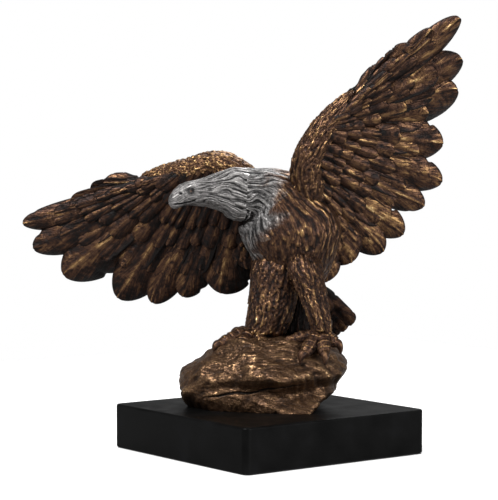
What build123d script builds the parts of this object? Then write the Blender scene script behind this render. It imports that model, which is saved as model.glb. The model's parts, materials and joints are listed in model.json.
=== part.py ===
"""A cast eagle on a rock, in eight castings pinned together and screwed to a square plinth.

Millimetres, +Z up. The origin is the centre of the felt's underside and the plinth's sides are
parallel to X and Y. The figure is modelled in axes of its own, where X runs along the spread of the
wings towards the bird's left, and every finished piece is turned by figure_turn to its place.
"""

import math
import os

from build123d import *

# Plinth and felt
plinth_side = 152.4
plinth_height = 29.5
plinth_corner_radius = 4.5
plinth_edge_radius = 1.5
felt_thickness = 1.0
felt_margin = 1.0
felt_corner_radius = 3.0

# Rock
rock_height = 45.0
rock_wall = 6.0
figure_turn = 53.0

# Screws up through the plinth into the rock
screw_radius = 3.0
screw_head_radius = 5.0
screw_head_height = 6.0
screw_socket_across = 5.0
screw_socket_depth = 3.0
screw_grip = 15.0
screw_places = {"front": (-32.0, 0.0), "rear": (18.0, 4.0)}
washer_radius = 6.5
washer_thickness = 1.6
counterbore_clearance = 1.0
counterbore_depth = 12.0
plinth_hole_clearance = 0.4
boss_radius = 8.0
thread_clearance = 0.05
tapped_depth = 20.0

# Pins between the castings
pin_clearance = 0.05
leg_rod_radius = 1.5
leg_rod_in_rock = 20.0
leg_rod_in_leg = 14.0
rod_boss_radius = 5.0
wing_pin_radius = 2.0
wing_pin_length = 26.0
neck_pin_radius = 2.5
neck_pin_length = 24.0
tail_pin_radius = 2.0
tail_pin_length = 18.0

# Body
body_wall = 8.0
core_vent_radius = 3.0
vent_length = 50.0

# Feet
tarsus_height = 12.0
tarsus_radius = 4.2
palm_rise = 3.5
palm_radius = 5.2
toe_root_radius = 4.4
knuckle_radius = 3.8
toe_end_radius = 3.0
knuckle_share = 0.55
knuckle_rise = 1.0
knuckle_drop_share = 0.2
talon_radius = 2.1
talon_length = 7.0
# A talon's middle and end: (reach, drop) in shares of its length, and its radius in shares of the base's
talon_middle = (0.55, 0.15, 0.7)
talon_end = (0.80, 0.75, 0.2)

# Feathers
left_wing_span = 159.0
right_wing_span = 168.0
feather_thickness = 3.0
covert_thickness = 6.0
lesser_covert_thickness = 9.0
quill_radius = 3.0
vane_widest_share = 0.70
vane_tip_share = 0.45

rock_base = felt_thickness + plinth_height
perch = rock_base + rock_height
right_ankle = (-9.0, -2.0)
left_ankle = (37.0, -22.0)

# The rock's outline at each height, as (share of rock_height, centre x, centre y, half width, half depth).
rock_levels = [
    (0.00, -10, 1, 49, 33),
    (0.14, -9, 1, 51, 35),
    (0.40, -6, -1, 52, 38),
    (0.62, -4, -3, 53, 41),
    (0.80, 0, -5, 50, 41),
    (0.92, 6, -6, 45, 38),
    (1.00, 12, -7, 40, 33),
]
rock_corner_shares = (1.00, 0.94, 1.05, 0.92, 1.01, 0.96, 1.06, 0.93, 1.02, 0.95, 0.99)

# A wing lies on a plane: its origin is in the shoulder, X runs out to the longest feather's tip and Y
# runs back across the feathers. under is the side of the plane that the underside of the wing faces.
left_wing_plane = Plane(origin=(22, -10, perch + 104), x_dir=(0.67, -0.11, 0.74), z_dir=(-0.23, 0.91, 0.34))
right_wing_plane = Plane(
    origin=(-12, 17, perch + 112),
    x_dir=(-0.96, 0.23, -0.18),
    z_dir=(-0.18, -0.96, -0.22),
)

# Each feather is (tip out, tip back, half width), each arm is (out, back, radius), in shares of the span.
left_feathers = [
    (0.636, -0.100, 0.040),
    (0.875, -0.060, 0.045),
    (0.990, 0.005, 0.060),
    (0.871, 0.143, 0.080),
    (0.740, 0.242, 0.090),
    (0.560, 0.360, 0.100),
    (0.419, 0.486, 0.080),
    (0.290, 0.500, 0.070),
    (0.135, 0.515, 0.075),
    (0.020, 0.497, 0.075),
    (-0.105, 0.414, 0.090),
    (-0.240, 0.379, 0.080),
]
right_feathers = [
    (0.626, -0.090, 0.045),
    (0.863, -0.010, 0.048),
    (1.014, 0.018, 0.055),
    (0.999, 0.120, 0.070),
    (0.900, 0.268, 0.100),
    (0.695, 0.415, 0.100),
    (0.547, 0.461, 0.080),
    (0.410, 0.457, 0.085),
    (0.240, 0.472, 0.110),
    (0.102, 0.389, 0.080),
]
left_arm = [
    (-0.020, 0.080, 0.075),
    (0.100, -0.055, 0.060),
    (0.250, -0.100, 0.050),
    (0.360, -0.106, 0.038),
    (0.450, -0.104, 0.022),
]
right_arm = [
    (-0.020, 0.080, 0.075),
    (0.100, -0.088, 0.058),
    (0.250, -0.082, 0.047),
    (0.360, -0.072, 0.040),
    (0.460, -0.070, 0.022),
]
# How a wing is cupped: how strongly it bends along and across its feathers, about which place, and how far
# the middle of it stands above the plane, in shares of the span.
cup_out, cup_out_middle = 0.10, 0.45
cup_back, cup_back_middle = 0.16, 0.18
cup_rise = 0.03
# Each row of a wing's feathers: (share of the way to the tips, thickness, share of the width, tilt)
covert_rows = [
    (1.00, feather_thickness, 1.00, 6),
    (0.62, covert_thickness, 0.85, 2),
    (0.36, lesser_covert_thickness, 0.80, 1),
]


# Legs, torso and neck, as (centre, direction, half across, half deep)
hip_height = perch + 50
torso_sections = [
    ((17, 16, perch + 3), (0, 0, 1), 13, 7),
    ((18, 15, perch + 18), (0, 0, 1), 14, 10),
    ((20, 12, perch + 36), (0, 0, 1), 18, 16),
    ((19, 6, perch + 54), (-0.05, 0, 1), 27, 23),
    ((16, 2, perch + 73), (-0.15, 0, 1), 32, 26),
    ((9, 2, perch + 91), (-0.45, 0, 1), 29, 24),
    ((-3, 0, perch + 102), (-1, -0.1, 0.5), 20, 19),
    ((-18, -4, perch + 102), (-1, -0.25, 0.05), 17, 15),
]
right_thigh_sections = [
    ((right_ankle[0], right_ankle[1], perch + tarsus_height), (0, 0, 1), 6.5, 6.5),
    ((right_ankle[0] + 6, right_ankle[1], perch + 28), (0, 0, 1), 10, 11),
    ((right_ankle[0] + 12, right_ankle[1] + 2, hip_height), (0, 0, 1), 14, 16),
    ((right_ankle[0] + 18, right_ankle[1] + 4, perch + 66), (0, 0, 1), 13, 14),
]
left_thigh_sections = [
    ((left_ankle[0], left_ankle[1], perch + tarsus_height), (0, 0, 1), 6.5, 6.5),
    ((left_ankle[0] - 3, left_ankle[1] + 4, perch + 28), (0, 0, 1), 8, 10),
    ((left_ankle[0] - 10, left_ankle[1] + 11, hip_height), (0, 0, 1), 11, 15),
    ((left_ankle[0] - 15, left_ankle[1] + 17, perch + 66), (0, 0, 1), 12, 13),
]
core_sections = [
    ((20, 11, perch + 42), (0, 0, 1), 20 - body_wall, 17 - body_wall),
    ((19, 6, perch + 54), (-0.05, 0, 1), 27 - body_wall, 23 - body_wall),
    ((17, 2, perch + 70), (-0.15, 0, 1), 31 - body_wall, 26 - body_wall),
    ((15, 2, perch + 82), (-0.3, 0, 1), 22 - body_wall, 20 - body_wall),
]
vent_centre = (19, 13, perch + 24)
neck_seam = Vector(-18, -4, perch + 102)
neck_way = Vector(-1, -0.25, 0.05).normalized()
head_sections = [
    (tuple(neck_seam), tuple(neck_way), 17, 15),
    ((-30, -8, perch + 104), (-1, -0.3, 0.05), 13.5, 12),
    ((-40, -11, perch + 103.5), (-1, -0.3, 0.0), 10.5, 9.5),
    ((-50, -14, perch + 103), (-1, -0.3, -0.05), 8.5, 7.5),
    ((-57, -16, perch + 102), (-1, -0.3, -0.15), 7, 5.5),
]
beak_sections = [
    ((-55, -15.5, perch + 102), (-1, -0.3, -0.15), 6.5, 5),
    ((-62, -17.5, perch + 100.5), (-1, -0.3, -0.5), 5, 3.6),
    ((-65.5, -18.5, perch + 96.5), (-0.6, -0.2, -1), 3, 2.2),
    ((-65.0, -18.4, perch + 92.5), (0.2, 0, -1), 0.8, 0.7),
]
tail_root = Vector(22, 18, perch + 38)
tail_tip = Vector(33, 52, perch - 1)
tail_spread_way = Vector(0.80, -0.42, 0.35).normalized()
tail_feathers = 9
tail_rounding = 0.10
tail_half_width = 27.0
tail_feather_half_width = 7.5
tail_root_radius = 8.0
tail_pin_share = 0.30
tail_core_share = 0.60
tail_core_end_radius = 4.5
shoulder_middle = Vector(8, 2, perch + 95)
wing_pin_share = 0.68
wing_pin_spacing = 7.5

# Each toe as (direction in degrees, length, drop to its end)
right_toes = [(200, 24, 5), (236, 20, 5), (290, 15, 4), (150, 13, -2)]
left_toes = [(180, 20, 1), (225, 17, 5), (272, 14, 5), (335, 11, 4)]


def blend(a, b, t):
    """The value t of the way from a to b."""
    return a + (b - a) * t


def hollow_depth(out, back):
    """How far the wing's surface stands off its plane, as its tips and its front bend under."""
    return cup_out * (out - cup_out_middle) ** 2 + cup_back * (back - cup_back_middle) ** 2 - cup_rise


def quill_root(arm, t):
    """Where a quill is set, t of the way out along the arm, in shares of the span."""
    bone = min(int(t * (len(arm) - 1)), len(arm) - 2)
    along = t * (len(arm) - 1) - bone
    (out, back, _), (next_out, next_back, _) = arm[bone : bone + 2]
    return blend(out, next_out, along), blend(back, next_back, along)


def wing_point(plane, span, under, out, back):
    """A point of the wing's surface, from its shares of the span."""
    return plane.from_local_coords(Vector(out, back, under * hollow_depth(out, back)) * span)


def link(start, end, start_radius, end_radius):
    """A tapered round link between two points, with a ball at its start."""
    start, end = Vector(*start), Vector(*end)
    with BuildPart() as piece:
        with BuildSketch(Plane(origin=start, z_dir=end - start)):
            Circle(start_radius)
        with BuildSketch(Plane(origin=end, z_dir=end - start)):
            Circle(end_radius)
        loft(ruled=True)
        with Locations(start):
            Sphere(start_radius)
    return piece.part


def blade(root, tip, normal, half_width, thickness):
    """One flat feather: the hull of its quill, its widest place and its narrow tip."""
    length = (tip - root).length
    along = (tip - root).normalized()
    face_normal = normal - along * normal.dot(along)
    tip_radius = vane_tip_share * half_width
    with BuildPart() as piece:
        with BuildSketch(Plane(origin=root, x_dir=along, z_dir=face_normal)):
            Circle(quill_radius)
            with Locations((length * vane_widest_share, 0)):
                Circle(half_width)
            with Locations((length - tip_radius, 0)):
                Circle(tip_radius)
            make_hull()
        extrude(amount=thickness / 2, both=True)
    return piece.part


def feather_row(plane, span, under, arm, feathers, share, thickness, widen, tilt):
    """One row of blades that reach a share of the way to the tips. Tilt turns each one like a slat."""
    row = []
    for number, (out, back, half_width) in enumerate(feathers):
        root_out, root_back = quill_root(arm, 1 - number / (len(feathers) - 1))
        root = wing_point(plane, span, under, root_out, root_back)
        tip = wing_point(plane, span, under, blend(root_out, out, share), blend(root_back, back, share))
        normal = plane.z_dir.rotate(Axis((0, 0, 0), tip - root), tilt)
        row.append(blade(root, tip, normal, half_width * span * widen, thickness))
    return row


def make_wing(plane, span, under, arm, feathers):
    """A whole wing: its arm, its long feathers and two rows of coverts, as one casting."""
    with BuildPart() as wing:
        for (out, back, radius), (next_out, next_back, next_radius) in zip(arm, arm[1:]):
            start = wing_point(plane, span, under, out, back)
            end = wing_point(plane, span, under, next_out, next_back)
            add(link(start, end, radius * span, next_radius * span))
        for share, thickness, widen, tilt in covert_rows:
            row = feather_row(plane, span, under, arm, feathers, share, thickness, widen, tilt * under)
            for feather in row:
                add(feather)
    return wing.part


def rock_shape(inset, bottom, top):
    """The rock's faceted shape between two heights, moved in by inset."""
    with BuildPart() as shape:
        for number, (share, x, y, half_x, half_y) in enumerate(rock_levels):
            with BuildSketch(Plane.XY.offset(blend(bottom, top, share))):
                corners = []
                for corner in range(len(rock_corner_shares)):
                    reach = rock_corner_shares[(corner + 3 * number) % len(rock_corner_shares)]
                    angle = 2 * math.pi * corner / len(rock_corner_shares)
                    corners.append(
                        (
                            x + (half_x * reach - inset) * math.cos(angle),
                            y + (half_y * reach - inset) * math.sin(angle),
                        )
                    )
                Polygon(*corners, align=None)
        loft(ruled=True)
    return shape.part


def lofted(sections):
    """A smooth body through ellipses, each (centre, direction, half across, half deep)."""
    with BuildPart() as body:
        for centre, direction, across, deep in sections:
            with BuildSketch(Plane(origin=centre, x_dir=(direction[2], 0, -direction[0]), z_dir=direction)):
                Ellipse(across, deep)
        loft()
    return body.part


def pin(centre, direction, radius, length):
    """A round pin, centred on a point."""
    with BuildPart(Plane(origin=centre, z_dir=direction)) as rod:
        Cylinder(radius, length)
    return rod.part


def talon(base, direction, length, radius):
    """A claw that leaves the toe and curves down to a point."""
    flat = Vector(direction.X, direction.Y, 0).normalized()
    down = Vector(0, 0, -1)
    middle_reach, middle_drop, middle_taper = talon_middle
    end_reach, end_drop, end_taper = talon_end
    middle = base + flat * middle_reach * length + down * middle_drop * length
    end = base + flat * end_reach * length + down * end_drop * length
    with BuildPart() as claw:
        with BuildSketch(Plane(origin=base, z_dir=flat)):
            Circle(radius)
        with BuildSketch(Plane(origin=middle, z_dir=flat + down)):
            Circle(middle_taper * radius)
        with BuildSketch(Plane(origin=end, z_dir=flat * end_taper + down)):
            Circle(end_taper * radius)
        loft()
    return claw.part


def make_foot(ankle, toes):
    """A tarsus cut flat at the top, with four toes and their talons. Each toe is (angle, length, drop)."""
    x, y = ankle
    palm = Vector(x, y, perch + palm_rise)
    with BuildPart() as foot:
        add(link((x, y, perch + tarsus_height), palm, tarsus_radius, palm_radius))
        with Locations(palm):
            Sphere(palm_radius)
        for angle, length, drop in toes:
            way = Vector(math.cos(math.radians(angle)), math.sin(math.radians(angle)), 0)
            rise = Vector(0, 0, knuckle_rise - knuckle_drop_share * drop)
            knuckle = palm + way * knuckle_share * length + rise
            toe_end = palm + way * length - Vector(0, 0, drop)
            add(link(palm, knuckle, toe_root_radius, knuckle_radius))
            add(link(knuckle, toe_end, knuckle_radius, toe_end_radius))
            with Locations(toe_end):
                Sphere(toe_end_radius)
            add(talon(toe_end, way, talon_length, talon_radius))
        with BuildSketch(Plane.XY.offset(perch + tarsus_height)):
            with Locations(ankle):
                Circle(2 * tarsus_radius)
        extrude(amount=2 * tarsus_radius, mode=Mode.SUBTRACT)
    return foot.part


def sketch_square(side, radius):
    """The plinth's square, in the figure's axes."""
    with BuildSketch(Plane.XY.rotated((0, 0, -figure_turn))) as square:
        RectangleRounded(side, side, radius)
    return square.sketch


def make_plinth():
    """The square block, with counterbored holes up through it for the screws."""
    with BuildPart() as plinth:
        with BuildSketch(Plane.XY.offset(felt_thickness)):
            add(sketch_square(plinth_side, plinth_corner_radius))
        extrude(amount=plinth_height)
        fillet(plinth.faces().sort_by(Axis.Z)[-1].edges(), plinth_edge_radius)
        with BuildSketch(Plane.XY.offset(felt_thickness)):
            with Locations(*screw_places.values()):
                Circle(screw_radius + plinth_hole_clearance)
        extrude(amount=plinth_height, mode=Mode.SUBTRACT)
        with BuildSketch(Plane.XY.offset(felt_thickness)):
            with Locations(*screw_places.values()):
                Circle(washer_radius + counterbore_clearance)
        extrude(amount=counterbore_depth, mode=Mode.SUBTRACT)
    return plinth.part


def make_felt():
    """The felt that covers the screws and stands on the shelf."""
    with BuildPart() as felt:
        with BuildSketch():
            add(sketch_square(plinth_side - 2 * felt_margin, felt_corner_radius))
        extrude(amount=felt_thickness)
    return felt.part


def make_washer(place):
    """A flat washer at the top of a counterbore."""
    top = felt_thickness + counterbore_depth
    with BuildPart() as washer:
        with BuildSketch(Plane.XY.offset(top - washer_thickness)):
            with Locations(place):
                Circle(washer_radius)
                Circle(screw_radius + plinth_hole_clearance, mode=Mode.SUBTRACT)
        extrude(amount=washer_thickness)
    return washer.part


def make_screw(place):
    """A socket-head screw, from under its washer up into the rock's boss."""
    seat = felt_thickness + counterbore_depth - washer_thickness
    with BuildPart() as screw:
        with BuildSketch(Plane.XY.offset(seat - screw_head_height)):
            with Locations(place):
                Circle(screw_head_radius)
        extrude(amount=screw_head_height)
        with BuildSketch(Plane.XY.offset(seat)):
            with Locations(place):
                Circle(screw_radius)
        extrude(amount=rock_base + screw_grip - seat)
        with BuildSketch(Plane.XY.offset(seat - screw_head_height)):
            with Locations(place):
                RegularPolygon(screw_socket_across / 2, 6, major_radius=False)
        extrude(amount=screw_socket_depth, mode=Mode.SUBTRACT)
    return screw.part


def leg_rod(ankle, clearance=0.0):
    """A rod from the rock up through the foot into the leg, or the hole for it."""
    bottom = perch - leg_rod_in_rock - clearance
    top = perch + tarsus_height + leg_rod_in_leg + clearance
    centre = (ankle[0], ankle[1], (bottom + top) / 2)
    return pin(centre, (0, 0, 1), leg_rod_radius + clearance, top - bottom)


def make_rock(feet):
    """The hollow rock, with a boss for each screw and each rod, and seats cut for the feet."""
    with BuildPart() as core:
        add(rock_shape(rock_wall, rock_base, perch - rock_wall))
        with BuildSketch(Plane.XY.offset(rock_base)):
            with Locations(*screw_places.values()):
                Circle(boss_radius)
            with Locations(right_ankle, left_ankle):
                Circle(rod_boss_radius)
        extrude(amount=rock_height, mode=Mode.SUBTRACT)
    with BuildPart() as rock:
        add(rock_shape(0, rock_base, perch))
        add(core.part, mode=Mode.SUBTRACT)
        with BuildSketch(Plane.XY.offset(rock_base)):
            with Locations(*screw_places.values()):
                Circle(screw_radius + thread_clearance)
        extrude(amount=tapped_depth, mode=Mode.SUBTRACT)
        for ankle in (right_ankle, left_ankle):
            add(leg_rod(ankle, pin_clearance), mode=Mode.SUBTRACT)
        for foot in feet:
            add(foot, mode=Mode.SUBTRACT)
    return rock.part


def wing_pin_lines(plane, span, under, arm):
    """The centres and the direction of a wing's two pins, which run out to the first bend of its arm."""
    bend = wing_point(plane, span, under, *arm[1][:2])
    way = bend - shoulder_middle
    aside = way.cross(plane.z_dir).normalized() * wing_pin_spacing / 2
    middle = shoulder_middle + way * wing_pin_share
    return [(middle + aside * side, way) for side in (-1, 1)]


def make_body(cutters):
    """The torso and the feathered thighs in one hollow casting, with its core let out at the vent."""
    with BuildPart() as body:
        add(lofted(torso_sections))
        add(lofted(right_thigh_sections))
        add(lofted(left_thigh_sections))
        add(lofted(core_sections), mode=Mode.SUBTRACT)
        for cutter in cutters:
            add(cutter, mode=Mode.SUBTRACT)
    return body.part


def make_tail():
    """The tail's fan of feathers, from the rump down and back, on a core that holds its pin."""
    length_way = tail_tip - tail_root
    normal = length_way.cross(tail_spread_way)
    with BuildPart() as tail:
        for number in range(tail_feathers):
            spread = 2 * number / (tail_feathers - 1) - 1
            end = tail_tip + tail_spread_way * spread * tail_half_width
            end -= length_way * tail_rounding * spread**2
            root = tail_root + tail_spread_way * spread * quill_radius
            add(blade(root, end, normal, tail_feather_half_width, feather_thickness))
        core_end = tail_root + length_way * tail_core_share
        add(link(tail_root, core_end, tail_root_radius, tail_core_end_radius))
        with Locations(core_end):
            Sphere(tail_core_end_radius)
    return tail.part


def main_solid(part):
    """A casting without the scraps that fitting it to its neighbour cuts off."""
    return part.solids().sort_by(SortBy.VOLUME)[-1]


right_foot = make_foot(right_ankle, right_toes)
left_foot = make_foot(left_ankle, left_toes)
neck_pin_line = (neck_seam, neck_way)
tail_pin_line = (tail_root + (tail_tip - tail_root) * tail_pin_share, tail_tip - tail_root)
pin_sizes = {"neck_pin": (*neck_pin_line, neck_pin_radius, neck_pin_length)}
pin_sizes["tail_pin"] = (*tail_pin_line, tail_pin_radius, tail_pin_length)
for side, plane, span, under, arm in (
    ("left", left_wing_plane, left_wing_span, -1, left_arm),
    ("right", right_wing_plane, right_wing_span, 1, right_arm),
):
    for place, line in zip(("front", "rear"), wing_pin_lines(plane, span, under, arm)):
        pin_sizes[f"{side}_wing_{place}_pin"] = (*line, wing_pin_radius, wing_pin_length)
pin_holes = [
    pin(centre, way, radius + pin_clearance, length + 2 * pin_clearance)
    for centre, way, radius, length in pin_sizes.values()
]
rod_holes = [leg_rod(right_ankle, pin_clearance), leg_rod(left_ankle, pin_clearance)]
vent = pin(vent_centre, (0, 0, 1), core_vent_radius, vent_length)
body = make_body([*pin_holes, *rod_holes, vent])
solid_body = make_body([])


def fitted(part, neighbours, holes):
    """A casting cut to lie against its neighbours, and drilled."""
    with BuildPart() as casting:
        add(part)
        for cutter in [*neighbours, *holes]:
            add(cutter, mode=Mode.SUBTRACT)
    return main_solid(casting.part)


with BuildPart() as head:
    add(lofted(head_sections))
    add(lofted(beak_sections))

left_wing = make_wing(left_wing_plane, left_wing_span, -1, left_arm, left_feathers)
right_wing = make_wing(right_wing_plane, right_wing_span, 1, right_arm, right_feathers)

pieces = {
    "plinth": make_plinth(),
    "felt_pad": make_felt(),
    "rock": make_rock([right_foot, left_foot]),
    "right_foot": fitted(right_foot, [], rod_holes),
    "left_foot": fitted(left_foot, [], rod_holes),
    "body": main_solid(body),
    "head": fitted(head.part, [], pin_holes),
    "left_wing": fitted(left_wing, [solid_body], pin_holes),
    "right_wing": fitted(right_wing, [solid_body, head.part], pin_holes),
    "tail": fitted(make_tail(), [solid_body], pin_holes),
    "right_leg_rod": leg_rod(right_ankle),
    "left_leg_rod": leg_rod(left_ankle),
}
for name, (centre, way, radius, length) in pin_sizes.items():
    pieces[name] = pin(centre, way, radius, length)
for place, spot in screw_places.items():
    pieces[f"base_screw_{place}"] = make_screw(spot)
    pieces[f"base_washer_{place}"] = make_washer(spot)

os.makedirs("parts", exist_ok=True)
for name, part in pieces.items():
    turned = part.rotate(Axis.Z, figure_turn)
    turned.label = name
    export_step(turned, f"parts/{name}.step")
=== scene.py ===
"""A cast eagle with a silvered head, on a rock on a black plinth.

The figure is worked out in millimetres in its own axes (X along the spread of the wings towards the
bird's left, Y away from the viewer, Z up), and to_row turns it to its place on the plinth, in metres.
"""

import json
import math

import bpy
import numpy as np
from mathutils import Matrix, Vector


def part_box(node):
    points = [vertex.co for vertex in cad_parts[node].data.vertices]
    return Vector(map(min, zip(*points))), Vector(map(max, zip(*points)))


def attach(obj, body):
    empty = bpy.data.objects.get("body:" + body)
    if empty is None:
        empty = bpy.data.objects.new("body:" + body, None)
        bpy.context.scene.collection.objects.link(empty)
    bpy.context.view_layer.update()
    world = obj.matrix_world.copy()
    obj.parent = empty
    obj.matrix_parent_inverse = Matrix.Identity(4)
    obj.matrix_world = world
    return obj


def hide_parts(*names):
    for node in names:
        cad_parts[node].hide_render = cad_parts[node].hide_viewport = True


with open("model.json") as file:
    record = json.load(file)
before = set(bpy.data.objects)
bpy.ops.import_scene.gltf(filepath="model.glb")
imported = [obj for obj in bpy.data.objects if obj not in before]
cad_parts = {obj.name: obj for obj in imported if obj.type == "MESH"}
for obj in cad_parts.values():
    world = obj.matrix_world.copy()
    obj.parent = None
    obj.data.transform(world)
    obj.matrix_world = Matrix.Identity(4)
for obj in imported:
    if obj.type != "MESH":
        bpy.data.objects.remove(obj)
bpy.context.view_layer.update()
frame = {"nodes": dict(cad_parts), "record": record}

MM = 0.001
figure_turn = math.radians(53.0)


def to_row(points):
    """Turns points from the figure's axes to the row's, and from millimetres to metres."""
    c, s = math.cos(figure_turn), math.sin(figure_turn)
    x, y, z = points[..., 0], points[..., 1], points[..., 2]
    return np.stack([x * c - y * s, x * s + y * c, z], -1) * MM


def to_figure(point):
    """The other way: a place of the row, in metres, in the figure's axes."""
    c, s = math.cos(figure_turn), math.sin(figure_turn)
    x, y, z = np.array(point, float) / MM
    return np.array([x * c + y * s, y * c - x * s, z])


def middle(node):
    """The centre of a CAD node's box, in the figure's axes."""
    low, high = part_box(node)
    return to_figure((np.array(low) + np.array(high)) / 2)


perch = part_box("rock")[1].z / MM
plinth_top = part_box("plinth")[1].z / MM
right_ankle = middle("right_leg_rod")[:2]
left_ankle = middle("left_leg_rod")[:2]
neck_seam = middle("neck_pin")


# ---------------------------------------------------------------- arithmetic on arrays


def unit(vectors):
    """The same directions, with length one."""
    return vectors / np.maximum(np.linalg.norm(vectors, axis=-1, keepdims=True), 1e-9)


def smooth(low, high, value):
    """A smooth step: 0 below low, 1 above high."""
    t = np.clip((value - low) / (high - low), 0, 1)
    return t * t * (3 - 2 * t)


def bump(value, centre, width):
    """A bell of height one at centre."""
    return np.exp(-(((value - centre) / width) ** 2))


def noise(x, y, seed, wrap=256):
    """Smooth random values from 0 to 1, one per whole step of x and y, repeating after wrap steps of y."""
    table = np.random.default_rng(seed).random((256, 256))
    xi, yi = np.floor(x).astype(int), np.floor(y).astype(int)
    fx, fy = smooth(0, 1, x - xi), smooth(0, 1, y - yi)
    x0, x1, y0, y1 = xi % 256, (xi + 1) % 256, yi % wrap % 256, (yi + 1) % wrap % 256
    low = table[x0, y0] * (1 - fx) + table[x1, y0] * fx
    high = table[x0, y1] * (1 - fx) + table[x1, y1] * fx
    return low * (1 - fy) + high * fy


def ridges(x, y, seed, wrap=256):
    """Noise folded at its middle, which leaves sharp crests."""
    return 1 - np.abs(2 * noise(x, y, seed, wrap) - 1)


def curve_through(points, count):
    """Points along the smooth curve through the given rows: a Catmull-Rom spline, evenly spaced."""
    points = np.array(points, float)
    padded = np.concatenate([2 * points[:1] - points[1:2], points, 2 * points[-1:] - points[-2:-1]])
    t = np.linspace(0, len(points) - 1, count)
    i = np.minimum(t.astype(int), len(points) - 2)
    f = (t - i)[:, None]
    a, b, c, d = padded[i], padded[i + 1], padded[i + 2], padded[i + 3]
    return 0.5 * (2 * b + (c - a) * f + (2 * a - 5 * b + 4 * c - d) * f**2 + (3 * b - a - 3 * c + d) * f**3)


def blur(height, rows, columns):
    """Averages a grid over so many rows and columns. The columns run round."""
    out = height.copy()
    for axis, reach in ((0, rows), (1, columns)):
        n = out.shape[axis]
        pad = n if axis == 0 else 0
        grid = np.concatenate([out[::-1], out, out[::-1]], 0) if axis == 0 else out
        frequency = np.fft.fftfreq(grid.shape[axis])
        weight = np.exp(-2 * (math.pi * frequency * reach) ** 2)
        weight = weight[:, None] if axis == 0 else weight[None]
        grid = np.real(np.fft.ifft(np.fft.fft(grid, axis=axis) * weight, axis=axis))
        out = grid[pad : pad + n] if axis == 0 else grid
    return out


def rubbed(height, gain, rows=5, columns=5):
    """How rubbed the metal is, from 0 in a groove to 1 on a crest: the height above what lies round it."""
    return np.clip(0.5 + gain * (height - blur(height, rows, columns)), 0, 1)


def outward(grid):
    """Normals of a grid whose columns run round, pointing away from each row's centre."""
    along = np.gradient(grid, axis=0)
    around = np.roll(grid, -1, axis=1) - np.roll(grid, 1, axis=1)
    normals = unit(np.cross(along, around))
    away = grid - grid.mean(axis=1, keepdims=True)
    flip = np.sign((normals * away).sum(-1).mean())
    return normals * flip


# ---------------------------------------------------------------- meshes


def make_mesh(name, corners, faces, values):
    """A mesh from arrays: corners (n, 3) in metres, a list of face arrays, and values for each corner."""
    mesh = bpy.data.meshes.new(name)
    sizes = np.concatenate([np.full(len(part), part.shape[1]) for part in faces])
    loops = np.concatenate([part.ravel() for part in faces])
    mesh.vertices.add(len(corners))
    mesh.vertices.foreach_set("co", corners.astype(np.float32).ravel())
    mesh.loops.add(len(loops))
    mesh.loops.foreach_set("vertex_index", loops.astype(np.int32))
    mesh.polygons.add(len(sizes))
    mesh.polygons.foreach_set("loop_start", np.concatenate([[0], np.cumsum(sizes)[:-1]]).astype(np.int32))
    mesh.update(calc_edges=True)
    mesh.shade_smooth()
    for key, value in values.items():
        kind, field = ("FLOAT_VECTOR", "vector") if value.ndim == 2 else ("FLOAT", "value")
        mesh.attributes.new(key, kind, "POINT").data.foreach_set(field, value.astype(np.float32).ravel())
    obj = bpy.data.objects.new(name, mesh)
    bpy.context.scene.collection.objects.link(obj)
    return obj


def closed_tubes(points, values):
    """Closes tubes into solids. points is (tubes, rows, columns, 3), the columns run round and a point
    closes each end. values are the same shape, with or without the last 3. Returns corners, faces, values."""
    tubes, rows, columns = points.shape[:3]

    def with_ends(grid):
        flat = grid.reshape(tubes, rows * columns, -1)
        ends = grid[:, [0, -1]].mean(axis=2).reshape(tubes, 2, -1)
        return np.concatenate([flat, ends], axis=1).reshape(tubes * (rows * columns + 2), -1)

    row = np.arange(rows - 1)[:, None] * columns
    here, ahead = np.arange(columns), (np.arange(columns) + 1) % columns
    quads = [row + here, row + ahead, row + columns + ahead, row + columns + here]
    quads = np.stack(quads, -1).reshape(-1, 4)
    last = (rows - 1) * columns
    start_cap = np.stack([np.full(columns, rows * columns), ahead, here], -1)
    end_cap = np.stack([np.full(columns, rows * columns + 1), last + here, last + ahead], -1)
    caps = np.concatenate([start_cap, end_cap])
    step = (np.arange(tubes) * (rows * columns + 2))[:, None, None]
    quads, caps = (quads + step).reshape(-1, 4), (caps + step).reshape(-1, 3)
    corners = with_ends(points)
    a, b, c, d = (corners[quads[:, k]] for k in range(4))
    normals = np.cross(a - c, b - d)
    if (normals * (a + b + c + d - 4 * corners.mean(0))).sum() < 0:
        quads, caps = quads[:, ::-1], caps[:, ::-1]
    out = {key: with_ends(value) for key, value in values.items()}
    return corners, [quads, caps], {key: v[:, 0] if v.shape[1] == 1 else v for key, v in out.items()}


def joined(parts):
    """Several (corners, faces, values) as one."""
    corners, quads, caps, start = [], [], [], 0
    for points, faces, _ in parts:
        corners.append(points)
        quads.append(faces[0] + start)
        caps.append(faces[1] + start)
        start += len(points)
    values = {key: np.concatenate([part[2][key] for part in parts]) for key in parts[0][2]}
    return np.concatenate(corners), [np.concatenate(quads), np.concatenate(caps)], values


def piece(name, parts, finish, replaces=()):
    """One finished piece of the figure: its mesh at its place, its finish, and what it stands for."""
    corners, faces, values = joined(parts)
    obj = make_mesh(name, to_row(corners), faces, values)
    obj.data.materials.append(finish)
    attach(obj, "root")
    if replaces:
        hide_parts(*replaces)
    return obj


# ---------------------------------------------------------------- finishes


def linear(code):
    """A linear colour from an sRGB hex code."""
    channels = np.array([int(code[i : i + 2], 16) for i in (1, 3, 5)]) / 255
    channels = np.where(channels < 0.04045, channels / 12.92, ((channels + 0.055) / 1.055) ** 2.4)
    return (*channels, 1.0)


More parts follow.
